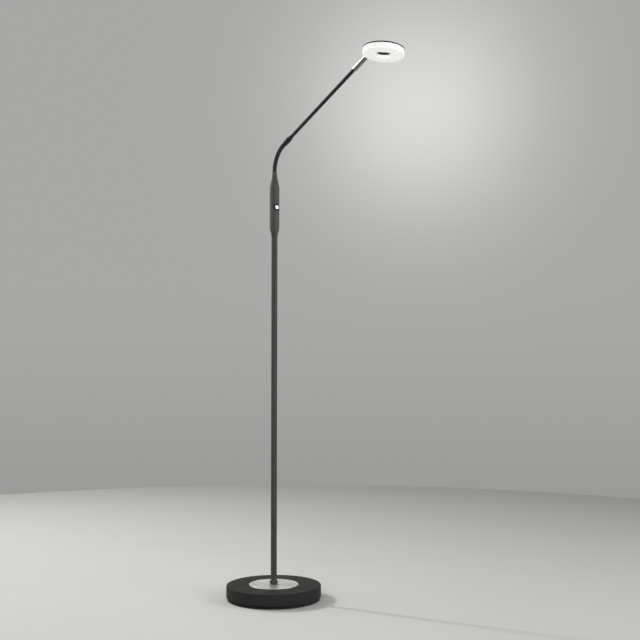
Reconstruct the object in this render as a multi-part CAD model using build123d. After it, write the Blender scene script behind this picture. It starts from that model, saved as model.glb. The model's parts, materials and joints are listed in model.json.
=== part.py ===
"""Gooseneck reading floor lamp, millimetres, +Z up.

The origin is the centre of the foot on the floor. The arm reaches towards +X, and the cable
inlet is at the back, towards -X. Outlines of turned pieces are (radius, height) pairs.
"""

from build123d import *
import math
import os

# Base, heights from the floor
BASE_RADIUS = 125.0
BASE_TOP_Z = 38.0
FOOT_RADIUS = 122.3
PAD_INSET = 0.3
PAD_THICKNESS = 3.0
PLATE_TOP_Z = 5.0
COVER_BOTTOM_Z = 8.0
COVER_WALL = 1.2
COVER_EDGE_ROUND = 2.5
WEIGHT_TOP_Z = 20.0
WEIGHT_CHAMFER = 2.0
WEIGHT_BOSS_RADIUS = 30.0
WEIGHT_BOSS_FLARE = 4.0
NUT_RECESS_RADIUS = 22.0
NUT_RECESS_TOP_Z = 31.5
LEAD_CHANNEL_WIDTH = 8.0
LEAD_CHANNEL_TOP_Z = 19.0
TRIM_RADIUS = 65.0
TRIM_THICKNESS = 1.2
TRIM_CHAMFER = 0.5

# Screws that close the foot
PLATE_SCREW_CIRCLE = 95.0
PLATE_SCREW_COUNT = 3
PLATE_SCREW_RADIUS = 2.0
PLATE_SCREW_HEAD_RADIUS = 4.0
PLATE_SCREW_TIP_Z = 13.0

# Cable inlet
INLET_Z = 15.0
INLET_BORE_RADIUS = 3.2
INLET_HOLE_RADIUS = 5.0
INLET_FLANGE_RADIUS = 6.4
INLET_FLANGE_THICKNESS = 1.4

# Stem that clamps the pole to the base
STEM_RADIUS = 5.0
STEM_BORE_RADIUS = 3.4
STEM_BOTTOM_Z = 26.8
STEM_TOP_Z = 56.0
NUT_ACROSS_FLATS = 17.0
NUT_HEIGHT = 3.5
WASHER_RADIUS = 10.0
WASHER_THICKNESS = 1.0
INSERT_LENGTH = 24.0

# Pole and leads
POLE_RADIUS = 8.0
POLE_WALL = 1.2
POLE_TOP_Z = 992.0
COLLAR_RADIUS = 11.2
COLLAR_FOOT_RADIUS = 9.0
COLLAR_NECK_RADIUS = 8.5
COLLAR_HEIGHT = 10.3
POLE_FERRULE_BOTTOM_Z = 961.0
POLE_FERRULE_RADIUS = 9.8
SUPPLY_LEAD_RADIUS = 1.9
LED_LEAD_RADIUS = 1.4

# Grip with the switch
LOWER_CAP_BOTTOM_Z = 974.0
LOWER_CAP_SCREW_Z = 981.0
GRIP_BOTTOM_Z = 987.5
GRIP_TOP_Z = 1094.0
UPPER_CAP_TOP_Z = 1123.5
GRIP_RADIUS = 13.0
GRIP_WALL = 1.7
LOWER_CAP_FOOT_RADIUS = 11.0
UPPER_CAP_END_RADIUS = 6.95
SET_SCREW_RADIUS = 2.0

# Button, distances along its own axis from the middle of the grip
BUTTON_Z = 1039.5
BUTTON_TURN = -10.0
BUTTON_RADIUS = 5.4
BUTTON_FLANGE = 9.6
BUTTON_EDGE = 12.0
BUTTON_CROWN = 12.9
BUTTON_STEM_RADIUS = 2.0
BUTTON_TRAVEL = 1.0
BEZEL_RADIUS = 9.0
BEZEL_BACK = 6.5
BEZEL_FLOOR = 7.7
BEZEL_DISH_FLOOR = 10.8
BEZEL_LIP = 0.4

# Dimmer board inside the grip, with X down the grip and Z towards the button
BOARD_LENGTH = 60.0
BOARD_WIDTH = 18.0
BOARD_BACK = -3.6
BOARD_FRONT = -2.0
CARRIER_DISC_AT = 34.0
CARRIER_DISC_THICKNESS = 4.0
CARRIER_SPINE_BACK = -8.5
CARRIER_SPINE_FRONT = -6.0
CARRIER_HALF_WIDTH = 7.0
CARRIER_POST_AT = 26.0
LEAD_END_AT = 27.5
TERMINAL_AT = 23.5
SWITCH_SIZE = 6.0
SWITCH_HEIGHT = 4.0
PLUNGER_RADIUS = 1.7
PLUNGER_TOP = 3.0
PLUNGER_GAP = 0.1

# Flexible neck: an arc from the vertical, cut into short ribbed lengths between joints
NECK_BOTTOM_Z = 1137.5
NECK_BEND_RADIUS = 74.0
NECK_BEND = 63.5
NECK_JOINTS = 8
NECK_CREST_RADIUS = 5.65
NECK_VALLEY_RADIUS = 4.7
NECK_BORE_RADIUS = 3.1
RIBS_PER_LINK = 4
RIB_CREST_WIDTH = 0.6
RIB_BASE_WIDTH = 0.96
LINK_END_GAP = 0.75
NECK_TAIL_RADIUS = 4.8
NECK_TAIL_LENGTH = 9.0
NECK_TAIL_OVERLAP = 0.2
NECK_FERRULE_LENGTH = 34.0
NECK_FERRULE_SPIGOT_RADIUS = 5.0
NECK_FERRULE_TOP_RADIUS = 6.1

# Arm: distances along the arm start at the top end of the neck
ARM_RADIUS = 4.6
ARM_WALL = 1.0
ARM_START = 12.0
ARM_END = 336.0
ARM_FERRULE_RADIUS = 7.1
ARM_FERRULE_STEP_AT = 26.0
ARM_FERRULE_END = 36.0
PLUG_SPIGOT_LENGTH = 14.0
PLUG_BORE_RADIUS = 2.0
PLUG_END = 346.0
GROOVE_RADIUS = 3.4
GROOVE_AT = 340.9
GROOVE_WIDTH = 3.4
PIVOT_AT = 366.0

# Head sleeve and hinge, measured from the tilt pin
SLEEVE_RADIUS = 6.9
SLEEVE_LENGTH = 52.0
HEAD_SWIVEL = -6.5
HEAD_TILT = 26.5
SLOT_HALF_WIDTH = 3.1
SLOT_BOTTOM = -6.0
TONGUE_HALF_WIDTH = 2.5
TONGUE_TOP = 0.8
TONGUE_SHOULDER_X = 10.0
TONGUE_LENGTH = 19.0
EYE_RADIUS = 4.6
PIN_RADIUS = 1.5
PIN_HALF_LENGTH = 6.4
HINGE_WASHER_RADIUS = 4.4
SWIVEL_SCREW_RADIUS = 1.5
BRACKET_START_X = 17.0
BRACKET_END_X = 35.0
BRACKET_HALF_WIDTH = 8.0
BRACKET_SCREW_X = 30.0
BRACKET_SCREW_Y = 4.5
BRACKET_SCREW_RADIUS = 1.5
BRACKET_SCREW_HEAD_RADIUS = 2.6
BRACKET_SCREW_TIP = 0.7

# Head, in its own level frame with the tilt pin at the origin
HEAD_CENTRE_X = 61.7
SHELL_RADIUS = 50.45
SHELL_TOP = 1.2
SHELL_BOTTOM = -2.2
SHELL_CEILING = -0.6
SHELL_INNER_RADIUS = 48.4
SHELL_EDGE_ROUND = 1.0
POST_RADIUS = 4.0
FACE_BOTTOM = -15.0
FACE_EDGE_ROUND = 3.5
DIFFUSER_RADIUS = 50.15
DIFFUSER_WALL = 2.0
DIFFUSER_INNER_CHAMFER = 1.5
DIFFUSER_RIM_WALL = 1.4
DIFFUSER_RIM_HEIGHT = 1.5
BOARD_RADIUS = 46.0
BOARD_THICKNESS = 1.6
BOARD_SCREW_CIRCLE = 38.0
BOARD_SCREW_COUNT = 3
BOARD_SCREW_RADIUS = 1.2
BOARD_SCREW_HEAD_RADIUS = 2.3
BOARD_SCREW_TIP = 0.7
LED_RINGS = ((42.5, 36), (26.5, 20))
LED_WIDTH = 2.8
LED_LENGTH = 3.5
LED_HEIGHT = 0.7

# Round well in the middle of the face: an opal wall, then a dark ring, then a disc
WELL_RADIUS = 20.0
WELL_WALL = 2.0
WELL_WALL_TOP = -6.6
CENTRE_DISC_BOTTOM = -1.4

# Radial clearances: fixed fits, fasteners in their holes, and loose passages
FIT = 0.05
HOLE_FIT = 0.02
RUNNING_FIT = 0.06
LOOSE = 0.2

TRIM_TOP_Z = BASE_TOP_Z + TRIM_THICKNESS
COVER_UNDERSIDE_Z = BASE_TOP_Z - COVER_WALL
GRIP_INNER_RADIUS = GRIP_RADIUS - GRIP_WALL
CAP_SPIGOT_RADIUS = GRIP_INNER_RADIUS - FIT
BUTTON_BACK = PLUNGER_TOP + BUTTON_TRAVEL + PLUNGER_GAP
POLE_BORE = POLE_RADIUS + FIT
NECK_SOCKET = NECK_TAIL_RADIUS + FIT
BOARD_BOTTOM = SHELL_BOTTOM - BOARD_THICKNESS
JOINT_PITCH_ANGLE = NECK_BEND / NECK_JOINTS
LINK_LENGTH = 2 * NECK_BEND_RADIUS * math.sin(math.radians(JOINT_PITCH_ANGLE) / 2)
RIB_PITCH = LINK_LENGTH / RIBS_PER_LINK
NECK_TOP_X = NECK_BEND_RADIUS * (1 - math.cos(math.radians(NECK_BEND)))
NECK_TOP_Z = NECK_BOTTOM_Z + NECK_BEND_RADIUS * math.sin(math.radians(NECK_BEND))

# Frames: +Z of the arm frame runs along the arm; the head frame has +X outwards, +Z up
ARM_FRAME = Pos(NECK_TOP_X, 0, NECK_TOP_Z) * Rot(Y=NECK_BEND)
SLEEVE_FRAME = ARM_FRAME * Pos(Z=PIVOT_AT) * Rot(Z=HEAD_SWIVEL)
HEAD_FRAME = SLEEVE_FRAME * Rot(Y=HEAD_TILT - 90)
BUTTON_FRAME = Pos(Z=BUTTON_Z) * Rot(Z=BUTTON_TURN) * Rot(Y=90)
LOWER_SCREW_FRAME = Pos(Z=LOWER_CAP_SCREW_Z) * Rot(Z=BUTTON_TURN + 180) * Rot(Y=90)
ALONG_Y = Rot(X=90)


# ---- Shared shapes ----

def turned_edges(edges):
    """A solid of revolution about Z from a closed outline drawn as (radius, height)."""
    return revolve(Plane.XZ * make_face(edges), Axis.Z)


def turned(corners):
    """A solid of revolution about Z with straight sides between its corners."""
    return turned_edges(Polyline(*corners, close=True))


def tube(outer, inner, bottom, top):
    """A straight round wall between two heights."""
    return turned([(inner, bottom), (outer, bottom), (outer, top), (inner, top)])


def rod(radius, bottom, top):
    """A straight round bar between two heights."""
    return Pos(Z=(bottom + top) / 2) * Cylinder(radius, top - bottom)


def block(x_range, y_range, z_range):
    """A box given by its low and high coordinates."""
    spans = (x_range, y_range, z_range)
    sizes = [high - low for low, high in spans]
    centre = [(low + high) / 2 for low, high in spans]
    return Pos(*centre) * Box(*sizes)


def around(piece, radius, angles, centre_x=0.0):
    """Copies of a piece on a circle about a vertical axis."""
    return [Pos(X=centre_x) * Rot(Z=angle) * Pos(X=radius) * piece for angle in angles]


def even_angles(count, first=0.0):
    return [first + 360.0 * i / count for i in range(count)]


def cut_all(piece, tools):
    for tool in tools:
        piece = piece - tool
    return piece


# ---- Base ----

def foot_pad():
    return rod(FOOT_RADIUS - PAD_INSET, 0, PAD_THICKNESS)


def on_plate_screws(piece):
    return around(piece, PLATE_SCREW_CIRCLE, even_angles(PLATE_SCREW_COUNT))


def countersunk_outline(head, shank, tip):
    """A countersunk screw, head down in the plate."""
    return [(0, PAD_THICKNESS), (head, PAD_THICKNESS), (shank, PLATE_TOP_Z), (shank, tip), (0, tip)]


def bottom_plate():
    sink = turned(countersunk_outline(
        PLATE_SCREW_HEAD_RADIUS + FIT, PLATE_SCREW_RADIUS + FIT, PLATE_TOP_Z + 1))
    return cut_all(rod(FOOT_RADIUS, PAD_THICKNESS, PLATE_TOP_Z), on_plate_screws(sink))


def bottom_plate_screws():
    screw = turned(countersunk_outline(PLATE_SCREW_HEAD_RADIUS, PLATE_SCREW_RADIUS, PLATE_SCREW_TIP_Z))
    return Compound(on_plate_screws(screw))


def base_weight():
    body = turned([
        (0, PLATE_TOP_Z), (FOOT_RADIUS, PLATE_TOP_Z), (FOOT_RADIUS, WEIGHT_TOP_Z - WEIGHT_CHAMFER),
        (FOOT_RADIUS - WEIGHT_CHAMFER, WEIGHT_TOP_Z),
        (WEIGHT_BOSS_RADIUS + WEIGHT_BOSS_FLARE, WEIGHT_TOP_Z),
        (WEIGHT_BOSS_RADIUS, COVER_UNDERSIDE_Z), (0, COVER_UNDERSIDE_Z),
    ])
    half = LEAD_CHANNEL_WIDTH / 2
    stem_hole = rod(STEM_RADIUS + LOOSE, PLATE_TOP_Z, COVER_UNDERSIDE_Z)
    nut_recess = rod(NUT_RECESS_RADIUS, PLATE_TOP_Z, NUT_RECESS_TOP_Z)
    channel = block((-BASE_RADIUS, 0), (-half, half), (PLATE_TOP_Z, LEAD_CHANNEL_TOP_Z))
    screw_hole = rod(PLATE_SCREW_RADIUS + FIT, PLATE_TOP_Z, PLATE_SCREW_TIP_Z + 1)
    return cut_all(body, [stem_hole, nut_recess, channel] + on_plate_screws(screw_hole))


def rounded_drum(radius, bottom, top, edge_round):
    """A bar whose upper edge is rounded."""
    drum = rod(radius, bottom, top)
    return fillet(drum.edges().group_by(Axis.Z)[-1], edge_round)


def base_cover():
    shell = rounded_drum(BASE_RADIUS, COVER_BOTTOM_Z, BASE_TOP_Z, COVER_EDGE_ROUND)
    cavity = rounded_drum(
        BASE_RADIUS - COVER_WALL, COVER_BOTTOM_Z, COVER_UNDERSIDE_Z, COVER_EDGE_ROUND - COVER_WALL)
    stem_hole = rod(STEM_RADIUS + LOOSE, COVER_UNDERSIDE_Z, BASE_TOP_Z)
    inlet_hole = Pos(X=-BASE_RADIUS, Z=INLET_Z) * Rot(Y=90) * Cylinder(INLET_HOLE_RADIUS, 10.0)
    return cut_all(shell, [cavity, stem_hole, inlet_hole])


def cable_inlet_grommet():
    """A rubber ring gripping the wall of the cover, turned about the inlet axis."""
    waist = INLET_HOLE_RADIUS - 0.1
    flange = INLET_FLANGE_RADIUS
    outside = -BASE_RADIUS
    inside = -BASE_RADIUS + COVER_WALL + LOOSE
    ring = turned([
        (INLET_BORE_RADIUS, inside + 1.1), (INLET_BORE_RADIUS, outside - INLET_FLANGE_THICKNESS),
        (flange - 1.2, outside - INLET_FLANGE_THICKNESS), (flange, outside - INLET_FLANGE_THICKNESS / 2),
        (flange, outside), (waist, outside), (waist, inside), (flange - 0.4, inside),
        (flange - 0.4, inside + 0.7), (flange - 0.8, inside + 1.1),
    ])
    return Pos(Z=INLET_Z) * Rot(Y=90) * ring


def trim_disc():
    bore = STEM_RADIUS + LOOSE
    return turned([
        (bore, BASE_TOP_Z), (TRIM_RADIUS, BASE_TOP_Z), (TRIM_RADIUS, TRIM_TOP_Z - TRIM_CHAMFER),
        (TRIM_RADIUS - TRIM_CHAMFER, TRIM_TOP_Z), (bore, TRIM_TOP_Z),
    ])


def pole_collar():
    """A squat ball round the foot of the pole, flat where it stands on the disc."""
    top = TRIM_TOP_Z + COLLAR_HEIGHT
    foot = (COLLAR_FOOT_RADIUS, TRIM_TOP_Z)
    widest = (COLLAR_RADIUS, TRIM_TOP_Z + COLLAR_HEIGHT / 2)
    neck = (COLLAR_NECK_RADIUS, top)
    bulge = ThreePointArc(foot, widest, neck)
    rest = Polyline(neck, (POLE_BORE, top), (POLE_BORE, TRIM_TOP_Z), foot)
    return turned_edges([bulge, rest])


def threaded_stem():
    return tube(STEM_RADIUS, STEM_BORE_RADIUS, STEM_BOTTOM_Z, STEM_TOP_Z)


def stem_washer():
    return tube(WASHER_RADIUS, STEM_RADIUS + LOOSE, NUT_RECESS_TOP_Z - WASHER_THICKNESS, NUT_RECESS_TOP_Z)


def stem_nut():
    top = NUT_RECESS_TOP_Z - WASHER_THICKNESS
    bottom = top - NUT_HEIGHT
    hexagon = RegularPolygon(NUT_ACROSS_FLATS / 2, 6, major_radius=False)
    nut = Pos(Z=bottom) * extrude(hexagon, NUT_HEIGHT)
    return nut - rod(STEM_RADIUS + FIT, bottom, top)


# ---- Pole ----

def pole_tube():
    return tube(POLE_RADIUS, POLE_RADIUS - POLE_WALL, TRIM_TOP_Z, POLE_TOP_Z)


def pole_lower_insert():
    return tube(POLE_RADIUS - POLE_WALL - FIT, STEM_RADIUS + FIT, TRIM_TOP_Z, TRIM_TOP_Z + INSERT_LENGTH)


def supply_lead():
    """From the inlet along the channel, round one quarter bend and up the pole."""
    bend = STEM_BOTTOM_Z - INLET_Z
    start = (-BASE_RADIUS + COVER_WALL + 2.0, 0, INLET_Z)
    bend_start = (-bend, 0, INLET_Z)
    bend_end = (0, 0, STEM_BOTTOM_Z)
    lead_end = (0, 0, BUTTON_Z - LEAD_END_AT)
    quarter = TangentArc(bend_start, bend_end, tangent=(1, 0, 0))
    path = Line(start, bend_start) + quarter + Line(bend_end, lead_end)
    section = Plane(origin=start, z_dir=(1, 0, 0)) * Circle(SUPPLY_LEAD_RADIUS)
    print(f"supply lead: bend radius {bend:.1f}, least allowed {6 * SUPPLY_LEAD_RADIUS:.1f}")
    return sweep(section, path=path)


def pole_top_ferrule():
    lip = LOWER_CAP_BOTTOM_Z - 0.6
    return turned([
        (POLE_BORE, POLE_FERRULE_BOTTOM_Z), (POLE_RADIUS + 0.3, POLE_FERRULE_BOTTOM_Z),
        (POLE_FERRULE_RADIUS, lip), (POLE_FERRULE_RADIUS, LOWER_CAP_BOTTOM_Z),
        (POLE_BORE, LOWER_CAP_BOTTOM_Z),
    ])


# ---- Grip with the switch ----

def grip_lower_cap():
    """A cone below the grip, with a spigot inside it that caps the pole."""
    spigot_top = POLE_TOP_Z + 4.0
    lead_bore = SUPPLY_LEAD_RADIUS + 2.1
    cap = turned([
        (POLE_BORE, LOWER_CAP_BOTTOM_Z), (LOWER_CAP_FOOT_RADIUS, LOWER_CAP_BOTTOM_Z),
        (GRIP_RADIUS, GRIP_BOTTOM_Z), (CAP_SPIGOT_RADIUS, GRIP_BOTTOM_Z), (CAP_SPIGOT_RADIUS, spigot_top),
        (lead_bore, spigot_top), (lead_bore, POLE_TOP_Z), (POLE_BORE, POLE_TOP_Z),
    ])
    return cap - LOWER_SCREW_FRAME * rod(SET_SCREW_RADIUS + HOLE_FIT, 0, GRIP_RADIUS)


def grip_set_screw():
    """Presses on the pole and ends just under the cap's face."""
    return LOWER_SCREW_FRAME * rod(SET_SCREW_RADIUS, POLE_RADIUS + HOLE_FIT, GRIP_RADIUS - 1.4)


def grip_housing():
    wall = tube(GRIP_RADIUS, GRIP_INNER_RADIUS, GRIP_BOTTOM_Z, GRIP_TOP_Z)
    return wall - BUTTON_FRAME * rod(BEZEL_RADIUS + 0.1, 0, 2 * GRIP_RADIUS)


def grip_upper_cap():
    """A long cone to the neck, bored for the neck's lower ferrule."""
    spigot_bottom = GRIP_TOP_Z - 8.0
    bore = NECK_FERRULE_SPIGOT_RADIUS + FIT
    return turned([
        (9.5, spigot_bottom), (CAP_SPIGOT_RADIUS, spigot_bottom), (CAP_SPIGOT_RADIUS, GRIP_TOP_Z),
        (GRIP_RADIUS, GRIP_TOP_Z), (UPPER_CAP_END_RADIUS, UPPER_CAP_TOP_Z), (bore, UPPER_CAP_TOP_Z),
        (bore, GRIP_TOP_Z + 8.0), (9.5, GRIP_TOP_Z + 4.0),
    ])


def board_carrier():
    """Two discs on a spine, with two posts that hold the board."""
    disc = Rot(Y=90) * Cylinder(GRIP_INNER_RADIUS - 0.1, CARRIER_DISC_THICKNESS)
    end = CARRIER_DISC_AT + CARRIER_DISC_THICKNESS / 2
    width = (-CARRIER_HALF_WIDTH, CARRIER_HALF_WIDTH)
    carrier = block((-end, end), width, (CARRIER_SPINE_BACK, CARRIER_SPINE_FRONT))
    for side in (-1, 1):
        post_at = side * CARRIER_POST_AT
        carrier = carrier + Pos(X=side * CARRIER_DISC_AT) * disc
        carrier = carrier + block((post_at - 2, post_at + 2), width, (CARRIER_SPINE_FRONT, BOARD_BACK))
    lead_hole = Rot(Y=90) * Cylinder(2.5, 2 * end)
    return BUTTON_FRAME * (carrier - lead_hole)


def on_board(x, y, length, width, height):
    """A block standing on the front of the board."""
    x_range = (x - length / 2, x + length / 2)
    y_range = (y - width / 2, y + width / 2)
    return block(x_range, y_range, (BOARD_FRONT, BOARD_FRONT + height))


def dimmer_board():
    thickness = BOARD_FRONT - BOARD_BACK
    return BUTTON_FRAME * Pos(Z=-thickness) * on_board(0, 0, BOARD_LENGTH, BOARD_WIDTH, thickness)


def board_components():
    """Two lead terminals, a coil, a capacitor and two small chips."""
    terminals = [on_board(side * TERMINAL_AT, 0, 8.0, 8.0, 5.2) for side in (-1, 1)]
    coil = on_board(11.5, -4.0, 7.0, 7.0, 4.0)
    capacitor = Pos(11.5, 4.5) * rod(3.0, BOARD_FRONT, BOARD_FRONT + 6.0)
    driver_chip = on_board(-11.0, 0, 6.0, 5.0, 1.4)
    logic_chip = on_board(-2.0, -6.25, 6.0, 3.5, 1.2)
    pieces = terminals + [coil, capacitor, driver_chip, logic_chip]
    return Compound([BUTTON_FRAME * piece for piece in pieces])


def push_switch():
    body = on_board(0, 0, SWITCH_SIZE, SWITCH_SIZE, SWITCH_HEIGHT)
    return BUTTON_FRAME * (body + rod(PLUNGER_RADIUS, BOARD_FRONT + SWITCH_HEIGHT, PLUNGER_TOP))


def button_bezel():
    """A cup round the button, trimmed to the grip's outer face, with a dished front."""
    bore = BUTTON_RADIUS + 0.15
    stem_bore = BUTTON_STEM_RADIUS + 0.3
    front = GRIP_RADIUS + 1.0
    cup = turned([
        (stem_bore, BEZEL_BACK), (BEZEL_RADIUS, BEZEL_BACK), (BEZEL_RADIUS, front), (bore, front),
        (bore, BEZEL_FLOOR), (stem_bore, BEZEL_FLOOR),
    ])
    dish = turned([
        (0, BEZEL_DISH_FLOOR), (bore, BEZEL_DISH_FLOOR), (BEZEL_RADIUS - BEZEL_LIP, GRIP_RADIUS),
        (BEZEL_RADIUS - BEZEL_LIP, front), (0, front),
    ])
    return BUTTON_FRAME * (cup - dish) & rod(GRIP_RADIUS, GRIP_BOTTOM_Z, GRIP_TOP_Z)


def dimmer_button():
    """A stem and a cap with a slight crown; the stem ends one travel short of the plunger."""
    edge = (BUTTON_RADIUS, BUTTON_EDGE)
    shoulder = (BUTTON_RADIUS - 0.5, BUTTON_EDGE + 0.4)
    top = (0, BUTTON_CROWN)
    crown = TangentArc(top, shoulder, tangent=(1, 0))
    sides = Polyline(
        shoulder, edge, (BUTTON_RADIUS, BUTTON_FLANGE), (BUTTON_STEM_RADIUS, BUTTON_FLANGE),
        (BUTTON_STEM_RADIUS, BUTTON_BACK), (0, BUTTON_BACK), top)
    return BUTTON_FRAME * turned_edges([crown, sides])


def grip_lead():
    return rod(LED_LEAD_RADIUS, BUTTON_Z + LEAD_END_AT, NECK_BOTTOM_Z + 4.0)


# ---- Flexible neck ----

def neck_base_ferrule():
    bottom = NECK_BOTTOM_Z - NECK_FERRULE_LENGTH
    tail_seat = NECK_BOTTOM_Z - NECK_TAIL_LENGTH
    bore = NECK_BORE_RADIUS + 0.1
    spigot = NECK_FERRULE_SPIGOT_RADIUS
    return turned([
        (bore, bottom), (spigot, bottom), (spigot, UPPER_CAP_TOP_Z),
        (UPPER_CAP_END_RADIUS, UPPER_CAP_TOP_Z), (NECK_FERRULE_TOP_RADIUS, NECK_BOTTOM_Z),
        (NECK_SOCKET, NECK_BOTTOM_Z), (NECK_SOCKET, tail_seat), (bore, tail_seat),
    ])


def rib_sections(centre):
    """Radius and place of the four circles that one rib is lofted through."""
    return [
        (NECK_VALLEY_RADIUS, centre - RIB_BASE_WIDTH / 2),
        (NECK_CREST_RADIUS, centre - RIB_CREST_WIDTH / 2),
        (NECK_CREST_RADIUS, centre + RIB_CREST_WIDTH / 2),
        (NECK_VALLEY_RADIUS, centre + RIB_BASE_WIDTH / 2),
    ]


def ribbed_length(bottom, top, rib_centres):
    """A ruled loft through the ribs, with its bore, along Z on a steady X axis."""
    circles = [(NECK_VALLEY_RADIUS, bottom)]
    for centre in rib_centres:
        circles += rib_sections(centre)
    circles.append((NECK_VALLEY_RADIUS, top))
    faces = [Pos(Z=place) * Circle(radius) for radius, place in circles]
    return loft(faces, ruled=True) - rod(NECK_BORE_RADIUS, bottom, top)


def neck_point(angle):
    """The point of the neck's centre line where it has turned by an angle."""
    turn = math.radians(angle)
    across = NECK_BEND_RADIUS * (1 - math.cos(turn))
    up = NECK_BEND_RADIUS * math.sin(turn)
    return Vector(across, 0, NECK_BOTTOM_Z + up)


def gooseneck_link(number):
    """The length between neck joint number and the next one."""
    low = neck_point((number - 0.5) * JOINT_PITCH_ANGLE)
    high = neck_point((number + 0.5) * JOINT_PITCH_ANGLE)
    half = LINK_LENGTH / 2 - LINK_END_GAP
    first = -(RIBS_PER_LINK - 1) / 2
    centres = [(first + i) * RIB_PITCH for i in range(RIBS_PER_LINK)]
    place = Location((low + high) / 2) * Rot(Y=number * JOINT_PITCH_ANGLE)
    return place * ribbed_length(-half, half, centres)


def end_length():
    """Half a pitch of neck at either end: a tail for the ferrule, then two ribs, along Z."""
    joint = NECK_BEND_RADIUS * math.radians(JOINT_PITCH_ANGLE) / 2
    centres = [joint - 1.5 * RIB_PITCH, joint - 0.5 * RIB_PITCH]
    tail = tube(NECK_TAIL_RADIUS, NECK_BORE_RADIUS, -NECK_TAIL_LENGTH, NECK_TAIL_OVERLAP)
    return tail + ribbed_length(NECK_TAIL_OVERLAP, joint - LINK_END_GAP, centres)


def gooseneck_root():
    return Pos(Z=NECK_BOTTOM_Z) * end_length()


def gooseneck_tip():
    return ARM_FRAME * Rot(X=180) * end_length()


# ---- Arm ----

def neck_top_ferrule():
    """A cone that widens from the neck, a step, and a taper down to the arm."""
    collar = ARM_FERRULE_RADIUS
    step_radius = ARM_FERRULE_RADIUS - 1.1
    lead_bore = LED_LEAD_RADIUS + 1.1
    arm_bore = ARM_RADIUS + FIT
    ferrule = turned([
        (NECK_SOCKET, 0), (5.9, 0), (6.3, 1.5), (collar, 18.0), (collar, ARM_FERRULE_STEP_AT - 0.8),
        (collar - 0.5, ARM_FERRULE_STEP_AT), (step_radius, ARM_FERRULE_STEP_AT),
        (step_radius, ARM_FERRULE_END - 5.0), (ARM_RADIUS + 0.35, ARM_FERRULE_END),
        (arm_bore, ARM_FERRULE_END), (arm_bore, ARM_START), (lead_bore, ARM_START),
        (lead_bore, NECK_TAIL_LENGTH), (NECK_SOCKET, NECK_TAIL_LENGTH),
    ])
    return ARM_FRAME * ferrule


def arm_tube():
    return ARM_FRAME * tube(ARM_RADIUS, ARM_RADIUS - ARM_WALL, ARM_START, ARM_END)


def arm_end_plug():
    """A grooved end for the sleeve to turn on, with a spigot in the arm."""
    spigot = ARM_RADIUS - ARM_WALL - 0.03
    spigot_end = ARM_END - PLUG_SPIGOT_LENGTH
    groove_low = GROOVE_AT - GROOVE_WIDTH / 2
    groove_high = GROOVE_AT + GROOVE_WIDTH / 2
    plug = turned([
        (PLUG_BORE_RADIUS, spigot_end), (spigot, spigot_end), (spigot, ARM_END), (ARM_RADIUS, ARM_END),
        (ARM_RADIUS, groove_low), (GROOVE_RADIUS, groove_low), (GROOVE_RADIUS, groove_high),
        (ARM_RADIUS, groove_high), (ARM_RADIUS, PLUG_END), (PLUG_BORE_RADIUS, PLUG_END),
    ])
    return ARM_FRAME * plug


def arm_lead():
    return ARM_FRAME * rod(LED_LEAD_RADIUS, -4.0, PLUG_END + 6.0)


# ---- Head sleeve and hinge, along Z towards the pin at the origin ----

def swivel_screw_place():
    return Pos(Z=GROOVE_AT - PIVOT_AT) * Rot(Y=-90)


def head_sleeve():
    """A bored cylinder whose end is rounded about the pin and slotted for the tongue."""
    wide = (-SLEEVE_RADIUS - 1, SLEEVE_RADIUS + 1)
    body = rod(SLEEVE_RADIUS, -SLEEVE_LENGTH, SLEEVE_RADIUS)
    body = chamfer(body.edges().group_by(Axis.Z)[0], 0.5)
    straight = block(wide, wide, (-SLEEVE_LENGTH, 0))
    round_end = ALONG_Y * Cylinder(SLEEVE_RADIUS, 2 * wide[1])
    body = body & (straight + round_end)
    slot = block(wide, (-SLOT_HALF_WIDTH, SLOT_HALF_WIDTH), (SLOT_BOTTOM, wide[1]))
    arm_bore = rod(ARM_RADIUS + RUNNING_FIT, -SLEEVE_LENGTH, PLUG_END + 0.5 - PIVOT_AT)
    lead_bore = rod(LED_LEAD_RADIUS + 1.1, PLUG_END - PIVOT_AT, SLOT_BOTTOM + 1)
    pin_bore = ALONG_Y * Cylinder(PIN_RADIUS + HOLE_FIT / 2, 2 * wide[1])
    screw_bore = swivel_screw_place() * rod(SWIVEL_SCREW_RADIUS + HOLE_FIT, GROOVE_RADIUS, wide[1])
    return SLEEVE_FRAME * cut_all(body, [slot, arm_bore, lead_bore, pin_bore, screw_bore])


def swivel_screw():
    """Keeps the sleeve on the arm: its tip runs in the plug's groove."""
    screw = rod(SWIVEL_SCREW_RADIUS, GROOVE_RADIUS + 0.1, SLEEVE_RADIUS - 0.4)
    return SLEEVE_FRAME * swivel_screw_place() * screw


def tilt_pin():
    return SLEEVE_FRAME * ALONG_Y * rod(PIN_RADIUS, -PIN_HALF_LENGTH, PIN_HALF_LENGTH)


def friction_washers():
    inner_face, outer_face = TONGUE_HALF_WIDTH + FIT, SLOT_HALF_WIDTH - FIT
    washer = tube(HINGE_WASHER_RADIUS, PIN_RADIUS + HOLE_FIT, inner_face, outer_face)
    return Compound([SLEEVE_FRAME * Rot(X=side * 90) * washer for side in (-1, 1)])


def on_bracket_screws(piece):
    return [Pos(BRACKET_SCREW_X, side * BRACKET_SCREW_Y) * piece for side in (-1, 1)]


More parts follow.
